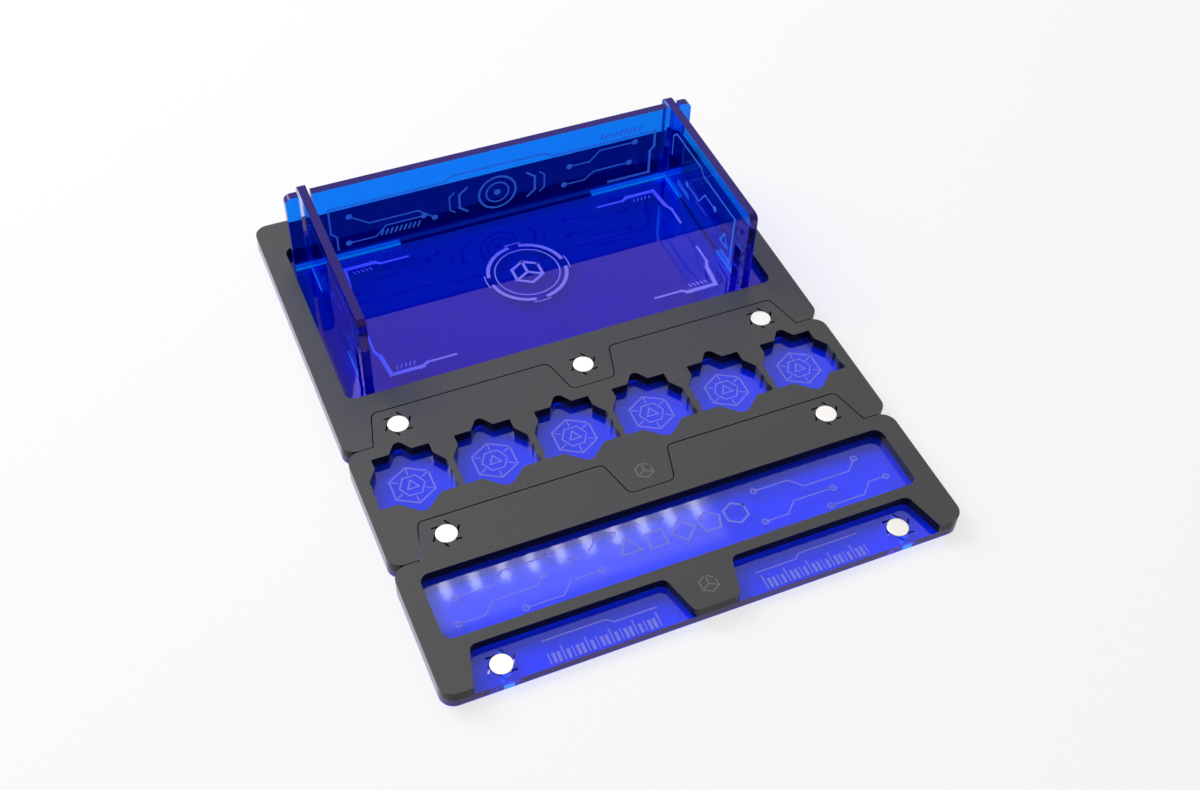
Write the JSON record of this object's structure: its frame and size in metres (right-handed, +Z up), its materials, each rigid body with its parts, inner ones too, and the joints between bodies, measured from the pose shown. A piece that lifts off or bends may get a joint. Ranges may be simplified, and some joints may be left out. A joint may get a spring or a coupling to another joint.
{
  "type": "dice tray",
  "caption": "Flat modular dice tray: a walled rolling well, a row of die pockets and a trough, joined edge to edge by tabs and disc magnets.",
  "frame": {"origin": "under the middle of the tray, on the surface that it lies on", "axes": "+X to the user's right, +Y away from the user towards the walled module, +Z up"},
  "size_m": [0.17, 0.2068, 0.036],
  "materials": {
    "matte_grey": "matte",
    "clear_blue": "polished, transparent blue",
    "magnet": "bright nickel"
  },
  "bodies": {
    "rear_module": {"rear_base_plate": "clear_blue", "rear_top_frame": "matte_grey", "rear_ledge_magnet_left": "magnet", "rear_ledge_magnet_right": "magnet", "rear_tongue_magnet": "magnet"},
    "middle_module": {"middle_base_plate": "clear_blue", "middle_pocket_plate": "matte_grey", "middle_ledge_magnet_left": "magnet", "middle_ledge_magnet_right": "magnet", "middle_tab_magnet_left": "magnet", "middle_tab_magnet_right": "magnet"},
    "front_module": {"front_base_plate": "clear_blue", "front_top_frame": "matte_grey", "front_ledge_magnet_left": "magnet", "front_ledge_magnet_right": "magnet", "front_tab_magnet_left": "magnet", "front_tab_magnet_right": "magnet"},
    "rear_wall": {"rear_wall": "clear_blue"},
    "left_wall": {"left_wall": "clear_blue"},
    "right_wall": {"right_wall": "clear_blue"}
  },
  "joints": [
    {"name": "middle_lift", "type": "slide", "parent": "rear_module", "child": "middle_module", "axis": [0, 0, 1], "range_m": [0, 0.025]},
    {"name": "front_lift", "type": "slide", "parent": "middle_module", "child": "front_module", "axis": [0, 0, 1], "range_m": [0, 0.025]},
    {"name": "rear_wall_lift", "type": "slide", "parent": "rear_module", "child": "rear_wall", "axis": [0, 0, 1], "range_m": [0, 0.045]},
    {"name": "left_wall_lift", "type": "slide", "parent": "rear_wall", "child": "left_wall", "axis": [0, 0, 1], "range_m": [0, 0.045]},
    {"name": "right_wall_lift", "type": "slide", "parent": "rear_wall", "child": "right_wall", "axis": [0, 0, 1], "range_m": [0, 0.045]}
  ]
}
